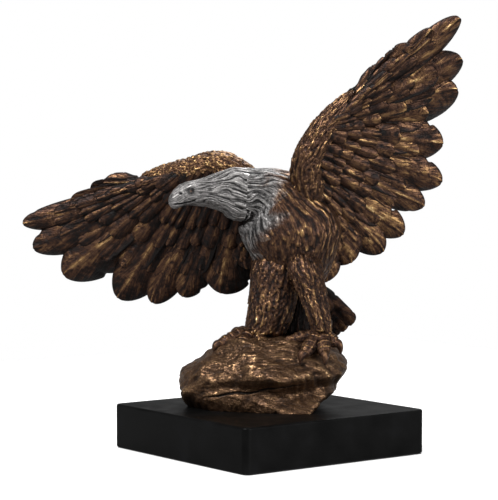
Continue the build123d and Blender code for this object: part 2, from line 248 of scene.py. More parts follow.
def add_node(tree, kind, inputs=None, **settings):
    """Adds a node with its settings. inputs maps a socket's name or number to a value or an output."""
    node = tree.nodes.new("ShaderNode" + kind)
    for key, value in settings.items():
        setattr(node, key, value)
    for key, value in (inputs or {}).items():
        if isinstance(value, bpy.types.NodeSocket):
            tree.links.new(value, node.inputs[key])
        else:
            node.inputs[key].default_value = value
    return node


def new_material(name):
    """An empty node material, with its tree and its shader."""
    material = bpy.data.materials.new(name)
    material.use_nodes = True
    tree = material.node_tree
    return material, tree, tree.nodes["Principled BSDF"]


def scaled_place(tree, scale):
    """Object coordinates, times a scale for each axis in steps per millimetre."""
    place = add_node(tree, "TexCoord").outputs["Object"]
    factors = [step / MM for step in scale]
    return add_node(tree, "VectorMath", {0: place, 1: factors}, operation="MULTIPLY").outputs[0]


def object_noise(tree, scale, detail):
    """Noise on Object coordinates, with a scale for each axis in steps per millimetre."""
    place = scaled_place(tree, scale)
    return add_node(tree, "TexNoise", {"Vector": place, "Scale": 1.0, "Detail": detail}).outputs["Fac"]


def colour_ramp(tree, value, stops):
    """A ramp of colours, each stop a (place, hex code)."""
    ramp = add_node(tree, "ValToRGB", {"Fac": value})
    for place, code in stops[1:-1]:
        ramp.color_ramp.elements.new(place)
    for element, (place, code) in zip(ramp.color_ramp.elements, stops):
        element.position, element.color = place, linear(code)
    return ramp.outputs["Color"]


def cast_metal(name, stops, silver_stops):
    """Cast bronze, patinated and then rubbed: dark in its grooves, with thin bright crests, and silvered
    where its silver value says. The eye sees a dark, slightly satin metal with a few sharp glints. Its
    colour follows the piece's rub value, which on some pieces also holds painted shade, with fine
    strands, a slow mottle and the grain left by the mould."""
    material, tree, shader = new_material(name)
    rub_and_shade = add_node(tree, "Attribute", attribute_name="rub_and_shade").outputs["Fac"]
    silver = add_node(tree, "Attribute", attribute_name="silver").outputs["Fac"]
    strands = add_node(tree, "Attribute", attribute_name="strands").outputs["Vector"]
    # strands about 1.6 mm apart and 14 mm long
    per_mm = (0.07, 0.62, 1.0)
    stretched = add_node(tree, "VectorMath", {0: strands, 1: per_mm}, operation="MULTIPLY").outputs[0]
    strand = add_node(tree, "TexNoise", {"Vector": stretched, "Scale": 1.0, "Detail": 3.0}).outputs["Fac"]
    mottle = object_noise(tree, (0.07, 0.07, 0.07), 5.0)
    grain = object_noise(tree, (0.8, 0.8, 0.8), 6.0)

    def weighed(value, weight, base):
        return add_node(tree, "Math", {0: value, 1: weight, 2: base}, operation="MULTIPLY_ADD").outputs[0]

    off = add_node(tree, "Math", {0: strand, 1: 0.5}, operation="SUBTRACT").outputs[0]
    off = add_node(tree, "Math", {0: off}, operation="ABSOLUTE").outputs[0]
    engraved = add_node(tree, "MapRange", {"Value": off, 2: 0.045, 3: 0.0, 4: 1.0}).outputs[0]
    relief = weighed(strand, 0.70, rub_and_shade)
    relief = weighed(engraved, 0.22, relief)
    relief = weighed(mottle, 0.20, relief)
    relief = weighed(grain, 0.34, relief)
    relief = add_node(tree, "Math", {0: relief, 1: 0.80}, operation="SUBTRACT", use_clamp=True).outputs[0]
    share = add_node(tree, "MapRange", {"Value": weighed(grain, 0.7, silver), 1: 0.55, 2: 1.15}).outputs[0]
    mix = add_node(tree, "Mix", {0: share}, data_type="RGBA")
    tree.links.new(colour_ramp(tree, relief, stops), mix.inputs[6])
    tree.links.new(colour_ramp(tree, relief, silver_stops), mix.inputs[7])
    tree.links.new(mix.outputs[2], shader.inputs["Base Color"])
    roughness = add_node(tree, "MapRange", {"Value": relief, 3: 0.50, 4: 0.28}).outputs[0]
    metallic = add_node(tree, "MapRange", {"Value": relief, 3: 0.70, 4: 1.0}).outputs[0]
    tree.links.new(roughness, shader.inputs["Roughness"])
    tree.links.new(metallic, shader.inputs["Metallic"])
    height = weighed(engraved, 0.5, weighed(strand, 0.6, grain))
    relief_bump = add_node(tree, "Bump", {"Strength": 0.8, "Distance": 0.40 * MM, "Height": height})
    tree.links.new(relief_bump.outputs[0], shader.inputs["Normal"])
    return material


# From the dark left in grooves and painted shade, through brown and worn patina, to the crests' bare metal
stop_places = {"figure": (0.0, 0.25, 0.48, 0.70, 0.86, 1.0), "rock": (0.0, 0.28, 0.50, 0.70, 0.86, 1.0)}
stop_places["silver"] = (0.0, 0.25, 0.45, 0.68, 0.86, 1.0)
bronze_codes = ["#0a0605", "#251712", "#4a3326", "#70543a", "#9d7c52", "#dcbb88"]
rock_codes = ["#120b07", "#2f2117", "#4c3727", "#69503a", "#8a6e50", "#bb9c74"]
silver_codes = ["#080808", "#252424", "#636160", "#999694", "#c0bdbb", "#e6e5e4"]
bronze_stops = list(zip(stop_places["figure"], bronze_codes))
rock_stops = list(zip(stop_places["rock"], rock_codes))
silver_stops = list(zip(stop_places["silver"], silver_codes))
bronze = cast_metal("patinated_bronze", bronze_stops, silver_stops)
rock_bronze = cast_metal("rubbed_bronze_rock", rock_stops, silver_stops)


# ---------------------------------------------------------------- feathers


def feather_blades(roots, tips, up, half_widths, size, seed):
    """Feathers as closed blades, one for each root and tip. size holds what they share.

    The middle line is a parabola from root to tip, bowed sideways by bend and off the wing by arch. Across it
    the section is a flat lens on a crown, a parabola that falls to both edges, tilted by roll. The outline
    widens from the quill, runs parallel and closes in a rounded tip, with a few notches where the vane has
    split. A shaft stands proud with a groove down each side of it, and shallow barbs run out at a slant."""
    rng = np.random.default_rng(seed)
    count, rows, columns = len(roots), size["rows"], size["columns"]
    each = (count, 1, 1)
    u = np.linspace(0, 1, rows + 2)[1:-1][None, :, None]
    turn = np.linspace(0, 2 * math.pi, columns, endpoint=False)[None, None, :]
    v, face = np.cos(turn), np.sign(np.sin(turn) + 1e-9)
    lens = np.abs(np.sin(turn)) ** 0.5
    up = unit(np.broadcast_to(up, (count, 3)))
    chord = tips - roots
    length = np.linalg.norm(chord, axis=1)[:, None, None]
    side = unit(np.cross(up, chord))
    bend = np.linspace(*size["bend"], count)[:, None] * length[:, 0]
    bow = (roots + tips) / 2 + side * bend + up * size["arch"]
    r, m, t = roots[:, None], bow[:, None], tips[:, None]
    uu = u[..., 0][..., None]
    line = (1 - uu) ** 2 * r + 2 * uu * (1 - uu) * m + uu**2 * t
    ahead = unit(2 * (1 - uu) * (m - r) + 2 * uu * (t - m))
    sides = unit(np.cross(up[:, None], ahead))
    ups = np.cross(ahead, sides)
    width = np.broadcast_to(half_widths, count)[:, None, None]
    outline = (0.45 + 0.55 * smooth(0, 0.45, u)) * np.sqrt(np.clip(u / 0.05, 0, 1))
    taper = np.linspace(*size["taper"], count)[:, None, None]
    outline = outline * np.sqrt(1 - np.clip((u - taper) / (1 - taper), 0, 1) ** size["blunt"])
    for _ in range(3):
        place = rng.uniform(0.40, 0.97, each)
        depth = rng.uniform(0.0, size["splits"], each)
        on_side = np.where(v * rng.choice([-1, 1], each) > 0, 1, 0)
        outline = outline * (1 - on_side * depth * bump(u - 0.06 * (1 - np.abs(v)), place, 0.020))
    across = v * width * outline
    shaft_place = rng.uniform(0.05, 0.30, each) * size["shaft_side"]
    from_shaft = np.abs(across - shaft_place * width * outline)
    along = u * length
    drift = rng.uniform(0, 200, each)
    wander = 1.6 * noise(along / 9 + drift, from_shaft / 5 + 0 * along, seed + 5)
    barb = (along - 1.1 * from_shaft) / 2.1 + wander
    barbs = np.sin(2 * math.pi * barb) * smooth(0.4, 2.0, from_shaft) * (1 - v**8)
    dents = noise(along / 6 + drift, across / 4 + 60, seed + 6) - 0.5
    shaft = np.exp(-((from_shaft / 0.62) ** 2)) * (1 - 0.45 * u)
    groove = bump(from_shaft, 1.4, 0.7)
    split = ridges(barb * 0.27 + 7, from_shaft * 0.02 + rng.uniform(0, 99, each), seed + 3) ** 8
    lines = ridges(along / 34 + drift, (from_shaft - 0.18 * along) / 2.0 + 80 + 9 * (v > 0), seed + 8) ** 4
    fine = np.minimum(1, width / 7)
    quill = size["quill"]
    detail = fine * (0.9 * quill * shaft - 0.45 * groove + 0.05 * barbs) + 0.36 * dents
    detail = detail - (0.25 * split + 0.42 * lines) * smooth(0.5, 2, from_shaft) * fine
    tilt = size["roll"] + rng.uniform(-1, 1, each) * size["uneven"]
    crown = np.linspace(*size["crown"], count)[:, None, None]
    sheet = -crown * width * v**2 * outline + tilt * width * v * outline
    lift = sheet + face * (lens * size["thickness"] / 2 + detail * lens)
    grid = line[:, :, None] + sides[:, :, None] * across[..., None] + ups[:, :, None] * lift[..., None]
    crest = 1 - v**2
    # Painted shade: size's shade darkens the whole of a wing or the tail that lies in shadow.
    rub_and_shade = 0.34 + size["shade"] + 0.14 * u + 0.22 * crest + 0.60 * quill * shaft + 0.24 * dents
    rub_and_shade = rub_and_shade - 0.30 * groove - 0.30 * split - 0.34 * lines - 0.26 * v**6
    rub_and_shade = rub_and_shade + rng.uniform(-0.07, 0.07, each) + 0.14 * v * size["shaft_side"]
    # Painted shade: each feather is painted darker over the share covered by the row above, to just past its
    # edge.
    covered = np.linspace(*size["covered"], count)[:, None, None]
    rub_and_shade = rub_and_shade - 0.42 * smooth(covered + 0.07, covered - 0.02, u)
    marks = 37 * np.arange(count)[:, None, None] + 0 * across
    strands = np.stack([along + 0.25 * from_shaft, from_shaft - 0.25 * along + 9 * (v > 0), marks], -1)
    return closed_tubes(grid, {"rub_and_shade": rub_and_shade, "strands": strands, "silver": 0 * rub_and_shade})


def wing_frame(origin, out_way, top_way, span, under):
    """A wing's plane: its origin, its way out, its way back across the feathers and its underside's way."""
    out_way, top_way = unit(np.array(out_way, float)), unit(np.array(top_way, float))
    back_way = unit(np.cross(top_way, out_way))
    ways = {"out": out_way, "back": back_way, "under": top_way * under}
    return {"origin": np.array(origin, float), "span": span, **ways}


left_wing = wing_frame((22, -10, perch + 104), (0.67, -0.11, 0.74), (-0.23, 0.91, 0.34), 159.0, -1)
right_wing = wing_frame((-12, 17, perch + 112), (-0.96, 0.23, -0.18), (-0.18, -0.96, -0.22), 168.0, 1)
left_wing["turn"], right_wing["turn"] = 1, -1
# Painted shade: the right wing, the far one, lies in shadow, so its feathers are painted darker as a whole.
left_wing["shade"], right_wing["shade"] = 0.0, -0.12

# Each flight feather's tip and half width, and each arm's middle and radius, in shares of the span
left_wing["feathers"] = [
    (0.636, -0.100, 0.042),
    (0.875, -0.055, 0.045),
    (0.990, 0.005, 0.066),
    (0.871, 0.150, 0.100),
    (0.762, 0.240, 0.118),
    (0.548, 0.366, 0.108),
    (0.419, 0.486, 0.090),
    (0.290, 0.500, 0.075),
    (0.135, 0.515, 0.080),
    (0.020, 0.497, 0.078),
    (-0.105, 0.414, 0.100),
    (-0.240, 0.379, 0.085),
]
right_wing["feathers"] = [
    (0.626, -0.090, 0.045),
    (0.863, -0.012, 0.050),
    (1.014, 0.015, 0.064),
    (0.999, 0.130, 0.088),
    (0.900, 0.272, 0.118),
    (0.690, 0.415, 0.108),
    (0.547, 0.461, 0.080),
    (0.410, 0.457, 0.082),
    (0.240, 0.470, 0.110),
    (0.102, 0.385, 0.078),
]
left_wing["arm"] = np.array(
    [
        (-0.020, 0.080, 0.075),
        (0.100, -0.055, 0.060),
        (0.250, -0.100, 0.050),
        (0.360, -0.106, 0.036),
        (0.450, -0.104, 0.018),
    ]
)
right_wing["arm"] = np.array(
    [
        (-0.020, 0.080, 0.075),
        (0.100, -0.068, 0.056),
        (0.250, -0.076, 0.047),
        (0.360, -0.072, 0.038),
        (0.460, -0.070, 0.018),
    ]
)


def on_wing(wing, out, back, lift=0.0):
    """Points of a wing's surface from shares of its span, lifted off it on the underside by so many mm.
    The surface is cupped: it bends towards the underside with the square of the distance from its middle."""
    cup = 0.10 * (out - 0.45) ** 2 + 0.16 * (back - 0.18) ** 2 - 0.03
    flat = out[..., None] * wing["out"] + back[..., None] * wing["back"]
    off = wing["span"] * cup + lift
    return wing["origin"] + wing["span"] * flat + off[..., None] * wing["under"]


def wing_row(wing, row, seed, face):
    """One row of feathers on one face of the wing, from a share to a share of the way to the long tips."""
    tips, arm = np.array(wing["feathers"]), wing["arm"]
    count = row["count"] or len(tips)
    t = np.linspace(0, 1, count)
    rng = np.random.default_rng(seed)
    if row["count"]:
        t = np.clip(0.08 + 0.92 * t + rng.uniform(-0.25, 0.25, count) / count, 0, 1)
    arm_t, knots = np.linspace(0, 1, len(arm)), np.linspace(0, 1, len(tips))
    root_out, root_back = np.interp(1 - t, arm_t, arm[:, 0]), np.interp(1 - t, arm_t, arm[:, 1])
    tip_out, tip_back = np.interp(t, knots, tips[:, 0]), np.interp(t, knots, tips[:, 1])
    jitter = rng.uniform(-row["ragged"], row["ragged"], count)

    def at(share, lift):
        out = root_out + (tip_out - root_out) * share
        back = root_back + (tip_back - root_back) * share
        return on_wing(wing, out, back, np.full(count, lift * face))

    roots, ends = at(row["start"], row["root_lift"]), at(row["end"] + jitter, row["tip_lift"])
    half = tips[:, 2] * wing["span"]
    if row["count"]:
        gap = np.linalg.norm(np.gradient(ends, axis=0), axis=1)
        half = np.clip(gap * row["overlap"], row["narrowest"], 9) * rng.uniform(0.9, 1.1, count)
    bend = [value * wing["turn"] * face for value in row["bend"]]
    size = dict(row, bend=bend, roll=row["roll"] * wing["turn"] * face)
    size["shaft_side"] = wing["turn"] * face
    size["shade"] = wing["shade"]
    return feather_blades(roots, ends, wing["under"] * face, half, size, seed)


# The rows of feathers. start and end are shares of the way from the arm to the long tips, lifts are in mm, and
# a pair runs from the outermost feather to the innermost. covered is the share that lies in shadow under the
# row above, which is darkened there as painted shade, and quill is how strongly the shaft shows.
flight_row = dict(
    count=None, start=0.06, end=1.0, root_lift=0.0, tip_lift=0.0, ragged=0.0, rows=170, columns=40,
    thickness=2.6, bend=(-0.14, -0.01), arch=-1.5, roll=0.10, crown=(0.46, 0.24), uneven=0.06, splits=0.14,
    blunt=2.0, taper=(0.60, 0.80), covered=(0.0, 0.60), quill=1.0,
)
long_row = dict(
    flight_row, count=15, start=0.24, end=0.79, root_lift=0.8, tip_lift=1.7, ragged=0.03, rows=140,
    columns=26, overlap=0.60, narrowest=4.0, thickness=2.2, bend=(-0.06, -0.02), roll=0.06,
    crown=(0.34, 0.30), uneven=0.12, blunt=3.0, taper=(0.66, 0.80), covered=(0.2, 0.62), quill=0.5,
)
greater_row = dict(
    count=16, start=0.20, end=0.60, root_lift=2.0, tip_lift=3.8, ragged=0.03, rows=110, columns=22,
    overlap=0.60, narrowest=3.6, thickness=2.4, bend=(-0.03, -0.03), arch=1.2, roll=0.06, crown=(0.40, 0.40),
    uneven=0.14, splits=0.12, blunt=3.4, taper=(0.74, 0.84), covered=(0.3, 0.55), quill=0.35,
)
median_row = dict(
    greater_row, count=19, start=0.08, end=0.43, root_lift=3.6, tip_lift=6.0, rows=80, columns=18,
    overlap=0.58, narrowest=2.7, crown=(0.50, 0.50), covered=(0.3, 0.45),
)
upper_row = dict(
    median_row, count=18, start=0.02, end=0.26, root_lift=5.0, tip_lift=8.0, ragged=0.04, rows=60,
    overlap=0.62, narrowest=2.3, uneven=0.25, covered=(0.30, 0.30),
)
small_row = dict(
    upper_row, start=-0.06, end=0.13, root_lift=6.0, tip_lift=9.0, ragged=0.05, rows=44, columns=16,
    overlap=0.72, uneven=0.3, covered=(0.0, 0.0),
)
covert_rows = {
    "long": long_row,
    "greater": greater_row,
    "median": median_row,
    "upper": upper_row,
    "small": small_row,
}


def plumage(along, across, columns, seed):
    """Small overlapping feathers on a surface. along and across count feathers down and round it, and
    columns is how many go round. Each feather starts near a whole step of along, with every other row
    shifted by half, and is two to three steps long. Its height rises to its rounded tip, and the highest
    feather at a place is the one seen. Returns the height, and how far across its feather each place is."""
    rng = np.random.default_rng(seed)
    table = rng.random((64, 256, 4))
    height = np.full(np.broadcast(along, across).shape, -1.0)
    best_across = np.zeros_like(height)
    base = np.floor(along).astype(int)
    for back in range(4):
        row = base - back
        for step in (-1, 0, 1):
            shift = 0.5 * (row % 2)
            column = np.floor(across - shift).astype(int) + step
            jitter = table[row % 64, (column % columns) % 256]
            start = row + 0.9 * (jitter[..., 0] - 0.5)
            reach = 2.1 + 0.9 * jitter[..., 1]
            a = (along - start) / reach
            centre = column + shift + 0.5 + 0.45 * (jitter[..., 2] - 0.5)
            centre = centre + 0.55 * (jitter[..., 3] - 0.5) * (a - 0.3)
            half = 0.62 * np.sqrt(np.clip(1 - np.clip((a - 0.45) / 0.55, 0, 1) ** 2.2, 0, 1)) + 0.02
            c = (across - centre) / half
            inside = (a > 0) & (a < 1) & (np.abs(c) < 1)
            h = np.where(inside, 0.25 + 0.75 * a - 0.45 * c**2 + 0.2 * (jitter[..., 1] - 0.5), -1.0)
            better = h > height
            height = np.where(better, h, height)
            best_across = np.where(better, c, best_across)
    return np.maximum(height, 0), best_across


def tube_grid(centres, side, up, across, deep, columns):
    """Rings of ellipses round a line: rows of centres, with the half axes along side and up."""
    turn = np.linspace(0, 2 * math.pi, columns, endpoint=False)
    ring = across[:, None, None] * np.cos(turn)[None, :, None] * side[:, None]
    return centres[:, None] + ring + deep[:, None, None] * np.sin(turn)[None, :, None] * up[:, None]


def dome(count, start, end):
    """A factor for the radii of a tube that closes both its ends as domes, over shares of its length."""
    t = np.linspace(0, 1, count + 2)[1:-1]
    first = np.sqrt(np.clip(1 - (1 - np.clip(t / start, 0, 1)) ** 2, 0, 1)) if start else 1.0
    last = np.sqrt(np.clip(1 - (1 - np.clip((1 - t) / end, 0, 1)) ** 2, 0, 1)) if end else 1.0
    return first * last


def rumple(x, y, seed, wrap):
    """Crumpled metal: sharp folds of two sizes, bent by a slow drift, about 0 to 1. x and y are in folds, and
    it repeats after wrap folds of y."""
    drift = 1.5 * noise(x * 0.6, y * 0.5, seed, max(wrap // 2, 1))
    large = ridges(x + drift, y + drift, seed + 1, wrap)
    small = ridges(2.3 * x - drift, 2 * y + drift, seed + 2, 2 * wrap)
    grit = noise(5 * x, 4 * y, seed + 3, 4 * wrap)
    return 0.38 * large + 0.30 * small + 0.32 * grit


def plumed_tube(centres, side, up, across, deep, columns, look, seed, front=None):
    """A closed tube covered in small ragged feathers that point along it, over crumpled metal. look holds
    the feathers' length in mm, how many go round, the heights of feathers, rumples and front ridge in mm,
    the folds' length in mm, how many go round, and how much the relief and the whole are rubbed."""
    grid = tube_grid(centres, side, up, across, deep, columns)
    step = np.linalg.norm(np.diff(centres, axis=0), axis=1)
    distance = np.concatenate([[0], np.cumsum(step)])[:, None]
    round_count = look["round"]
    turn = np.linspace(0, 1, columns, endpoint=False)[None]
    distance, turn = np.broadcast_arrays(distance, turn)
    along = distance / look["length"] + 1.6 * noise(distance / 11, turn * 6, seed + 7, 6)
    sway = 1.5 * noise(distance / 13, turn * 5, seed + 8, 5)
    lift, c = plumage(along, turn * round_count + sway, round_count, seed)
    fold = rumple(distance / look["fold"], turn * look["folds"], seed + 1, look["folds"])
    rise = look["height"] * lift + look["rumple"] * fold
    if front is not None:
        facing = (outward(grid) * front).sum(-1)
        rise = rise + look["ridge"] * bump(facing, 1.0, 0.08) * smooth(0.30, 0.62, distance / distance.max())
    grid = grid + outward(grid) * rise[..., None]
    rub_and_shade = rubbed(rise, look["gain"], 5, 5) + 0.10 * (fold - 0.5) + look["shine"]
    around = turn * 2 * math.pi * deep[:, None]
    strands = np.stack([distance, around + 1.2 * c, 0 * around], -1)
    return closed_tubes(grid[None], {"rub_and_shade": rub_and_shade[None], "strands": strands[None], "silver": 0 * rub_and_shade[None]})


def make_wing(name, wing, look, seed):
    """A wing in layers: its long flight feathers, five ranks of coverts on each face, and its arm."""
    piece(f"{name}_flight_feathers", [wing_row(wing, flight_row, seed, 1)], bronze, [name])
    for face, label in ((1, "under"), (-1, "upper")):
        for number, (rank, row) in enumerate(covert_rows.items()):
            feathers = wing_row(wing, row, seed + 10 * number + 5 * face, face)
            piece(f"{name}_{label}_{rank}_coverts", [feathers], bronze)
    count, columns = 300, 170
    line = curve_through(wing["arm"], count)
    centres = on_wing(wing, line[:, 0], line[:, 1])
    ahead = unit(np.gradient(centres, axis=0))
    up = np.broadcast_to(wing["under"], centres.shape)
    side = unit(np.cross(up, ahead))
    radius = line[:, 2] * wing["span"] * dome(count, 0.12, 0.10)
    over = np.cross(ahead, side)
    arm = plumed_tube(centres, side, over, 0.86 * radius, 0.92 * radius, columns, look, seed + 50)
    piece(f"{name}_arm", [arm], bronze)


# The arms: long ragged feathers on the raised wing, and a nearly bare crumpled bar on the spread one
left_arm_look = dict(length=10.0, round=17, height=1.8, rumple=1.8, fold=7.0, folds=22, gain=0.45)
left_arm_look.update(shine=-0.04)
right_arm_look = dict(length=9.0, round=12, height=0.4, rumple=2.2, fold=5.0, folds=16, gain=0.45)
right_arm_look.update(shine=0.06)
make_wing("left_wing", left_wing, left_arm_look, 100)
make_wing("right_wing", right_wing, right_arm_look, 200)


# ---------------------------------------------------------------- body


def section_grid(sections, count):
    """A smooth body through ellipses (x, y, z above the perch, way x, y, z, half across, half deep)."""
    rows = curve_through(sections, count)
    centres = rows[:, :3] + [0, 0, perch]
    way = unit(rows[:, 3:6])
    side = unit(np.stack([way[:, 2], 0 * way[:, 0], -way[:, 0]], -1))
    return centres, side, np.cross(way, side), rows[:, 6], rows[:, 7]


torso_sections = [
    (17, 16, 3, 0, 0, 1, 14, 8),
    (18, 15, 18, 0, 0, 1, 15, 10),
    (19.5, 12, 36, 0, 0, 1, 17, 16),
    (18, 6, 54, -0.05, 0, 1, 26, 23),
    (16, 2, 73, -0.15, 0, 1, 33, 26),
    (8, 2, 90, -0.45, 0, 1, 30, 24),
    (-3, 0, 100.5, -0.9, -0.1, 0.45, 18.8, 20.5),
    (-18, -4, 101, -0.97, -0.25, 0.05, 17, 16.5),
]
right_thigh_sections = [
    (right_ankle[0] + 18, right_ankle[1] + 4, 66, 0, 0, 1, 14, 14),
    (right_ankle[0] + 15.5, right_ankle[1] + 2, 50, 0, 0, 1, 16.5, 16),
    (right_ankle[0] + 13, right_ankle[1] + 1, 34, 0, 0, 1, 15.5, 13),
    (right_ankle[0] + 10.5, right_ankle[1], 18, 0, 0, 1, 14.5, 11),
    (right_ankle[0] + 6, right_ankle[1], 4, 0, 0, 1, 13, 9),
]
left_thigh_sections = [
    (left_ankle[0] - 15, left_ankle[1] + 17, 66, 0, 0, 1, 12, 13),
    (left_ankle[0] - 12, left_ankle[1] + 10, 50, 0, 0, 1, 11, 14),
    (left_ankle[0] - 7, left_ankle[1] + 5, 34, 0, 0, 1, 8.5, 9),
    (left_ankle[0] - 3, left_ankle[1] + 1, 20, 0, 0, 1, 6.5, 7),
    (left_ankle[0] - 0.5, left_ankle[1], 8, 0, 0, 1, 5.2, 5.5),
]


def silvered_strands(distance, turn, count, seed):
    """Long wavy strands cut in metal, where distance runs along them in mm and turn once round: broad ridges
    with thin grooves between them, and fine hairs on the ridges. Returns the height and the waves."""
    distance, turn = np.broadcast_arrays(distance, turn)
    wave = 0.8 * np.sin(distance / 5.0 + 12 * math.pi * turn) + 2.6 * noise(distance / 8, turn * 12, seed, 12)
    grooves = ridges(distance / 17, turn * count + wave, seed + 1, count) ** 2
    hairs = ridges(distance / 7, turn * 2 * count + 2 * wave, seed + 2, 2 * count) ** 2
    return 0.8 - 0.8 * grooves - 0.35 * hairs, wave


def make_torso():
    """The torso: ragged feathers point from the neck down to the rump, over crumpled metal. At the neck they
    draw out into long wavy silvered strands, which break up over the breast."""
    count, columns = 270, 350
    centres, side, up, across, deep = section_grid(torso_sections[::-1], count)
    close = dome(count, 0.0, 0.04)
    grid = tube_grid(centres, side, up, across * close, deep * close, columns)
    step = np.linalg.norm(np.diff(centres, axis=0), axis=1)
    distance = np.concatenate([[0], np.cumsum(step)])[:, None]
    turn = np.linspace(0, 1, columns, endpoint=False)[None]
    distance, turn = np.broadcast_arrays(distance, turn)
    tuft_length, tufts, fold_length, folds, strand_count = 8.5, 42, 10.0, 56, 76
    along = distance / tuft_length + 2.0 * noise(distance / 14, turn * 9, 77, 9)
    sway = 3.0 * noise(distance / 15, turn * 7, 78, 7)
    lift, c = plumage(along, turn * tufts + sway, tufts, 71)
    fold = rumple(distance / fold_length, turn * folds + sway, 79, folds)
    strand, wave = silvered_strands(distance, turn, strand_count, 72)
    x = grid[..., 0]
    neck = smooth(20, -12, x)
    rise = (1.3 * lift + 1.6 * fold - 0.8) * (1 - neck) + strand * neck
    grid = grid + outward(grid) * rise[..., None]
    # Painted shade: the torso is painted darker towards its bottom, between the thighs, where shade falls.
    painted_belly_shade = smooth(46, 22, grid[..., 2] - perch)
    rub_and_shade = rubbed(rise, 0.62, 5, 5) - 0.09 - 0.40 * painted_belly_shade
    ragged = 24 * (noise(distance / 9, turn * 22 + wave, 75, 22) - 0.5)
    below = np.maximum(perch + 88 - grid[..., 2], 0)
    silvered = smooth(20, -10, x + ragged + 0.7 * below)
    strands = np.stack([distance, turn * 130 + 1.4 * c + wave, 0 * turn], -1)
    values = {"rub_and_shade": rub_and_shade[None], "strands": strands[None], "silver": silvered[None]}
    piece("body_torso", [closed_tubes(grid[None], values)], bronze, ["body"])


# The thighs: narrow tufts over crumpled metal, and a ridge down the front of the shin
thigh_look = dict(length=9.0, round=24, height=1.5, rumple=1.8, fold=8.0, folds=26, gain=0.55)
thigh_look.update(shine=-0.12, ridge=2.2)


def make_thigh(name, sections, seed):
    """A thigh in narrow ragged tufts, closing round the ankle."""
    count, columns, skin = 250, 200, 1.0
    centres, side, up, across, deep = section_grid(sections, count)
    close = dome(count, 0.25, 0.05)
    across, deep = across * close - skin, deep * close - skin
    front = np.array([-0.15, -0.99, 0.0])
    tube = plumed_tube(centres, side, up, across, deep, columns, thigh_look, seed, front)
    piece(name, [tube], bronze)


make_torso()
make_thigh("body_right_thigh", right_thigh_sections, 81)
make_thigh("body_left_thigh", left_thigh_sections, 91)

# ---------------------------------------------------------------- head

head_way = unit(np.array([-0.958, -0.287, 0.0]))
head_side = np.array([head_way[1], -head_way[0], 0.0])
# Along the head from the seam: (distance, top, bottom, half width), with the heights above the perch
head_profile = np.array(
    [
        (-3.0, 118.0, 83.0, 15.5),
        (4.0, 118.6, 83.0, 15.0),
        (9.5, 117.5, 85.5, 13.6),
        (14.0, 116.0, 89.5, 12.4),
        (23.0, 112.8, 92.3, 10.2),
        (31.5, 110.6, 93.2, 9.3),
        (38.5, 109.3, 93.6, 8.8),
        (43.0, 107.2, 92.6, 6.6),
        (46.5, 104.4, 91.6, 4.6),
        (49.0, 101.4, 92.3, 3.0),
        (50.6, 98.4, 94.6, 1.2),
    ]
)


def make_head():
    """The head and the front of the neck: a rounded section whose top, bottom and width follow the profile,
    cut with long wavy strands that fade at the face. The brow, the eye in its socket, the cere, the nostril
    and the line of the mouth are bells and furrows added to it."""
    count, columns = 250, 300
    profile = curve_through(head_profile, count)
    s, top, bottom, half = (profile[:, k][:, None] for k in range(4))
    turn = np.linspace(0, 2 * math.pi, columns, endpoint=False)[None]
    share = turn / (2 * math.pi)
    z = perch + (top + bottom) / 2 + (top - bottom) / 2 * np.sin(turn)
    flank = np.sign(np.cos(turn)) * np.abs(np.cos(turn)) ** 0.85 * half
    base = np.array([neck_seam[0], neck_seam[1], 0.0])
    grid = base + s[..., None] * head_way + flank[..., None] * head_side
    grid[..., 2] = z
    strand, wave = silvered_strands(s, share, 62, 31)
    face = smooth(40, 22, s)
    h = z - perch
    brow = bump(s, 36, 5.0) * bump(h, 106.5, 1.8)
    socket = np.exp(-((s - 38.0) ** 2 + (h - 103.2) ** 2) / 2.2**2)
    cere = smooth(41.5, 43.0, s)
    nostril = np.exp(-((s - 44.2) ** 2 + (h - 101.5) ** 2) / 0.8**2)
    mouth_height = 97.0 - 0.36 * (s - 35.0) + 0.012 * (s - 35.0) ** 2
    mouth = bump(h, mouth_height, 0.55) * smooth(33.5, 36, s) * smooth(49, 46, s)
    eye = np.exp(-((s - 38.0) ** 2 + (h - 103.2) ** 2) / 1.3**2)
    rise = strand * (0.15 + 0.85 * face) + 1.1 * brow + 0.35 * cere + 1.3 * eye
    rise = rise - 1.3 * socket - 0.7 * nostril - 0.8 * mouth
    seam = bump(s, -1.0, 0.7) * smooth(0.6, -0.6, np.sin(turn))
    rise = rise - 0.8 * seam
    grid = grid + outward(grid) * rise[..., None]
    rub_and_shade = rubbed(rise, 0.90, 5, 5) - 0.02 - 0.35 * mouth - 0.3 * nostril - 0.20 * socket - 0.3 * seam
    strands = np.stack([s + 0 * turn, share * 90 + wave, 0 * s + 0 * turn], -1)
    values = {"rub_and_shade": rub_and_shade[None], "strands": strands[None], "silver": (1 - 0.9 * eye**2)[None]}
    tube = closed_tubes(grid[None], values)
    piece("head_casting", [tube], bronze, ["head"])


make_head()


# ---------------------------------------------------------------- feet

# Each toe as (direction in degrees, length, drop to its end)
right_toes = [(200, 25, 5), (236, 21, 9), (290, 15, 5), (150, 13, -2)]
left_toes = [(180, 21, 1), (225, 18, 9), (272, 15, 9), (335, 9, 3)]


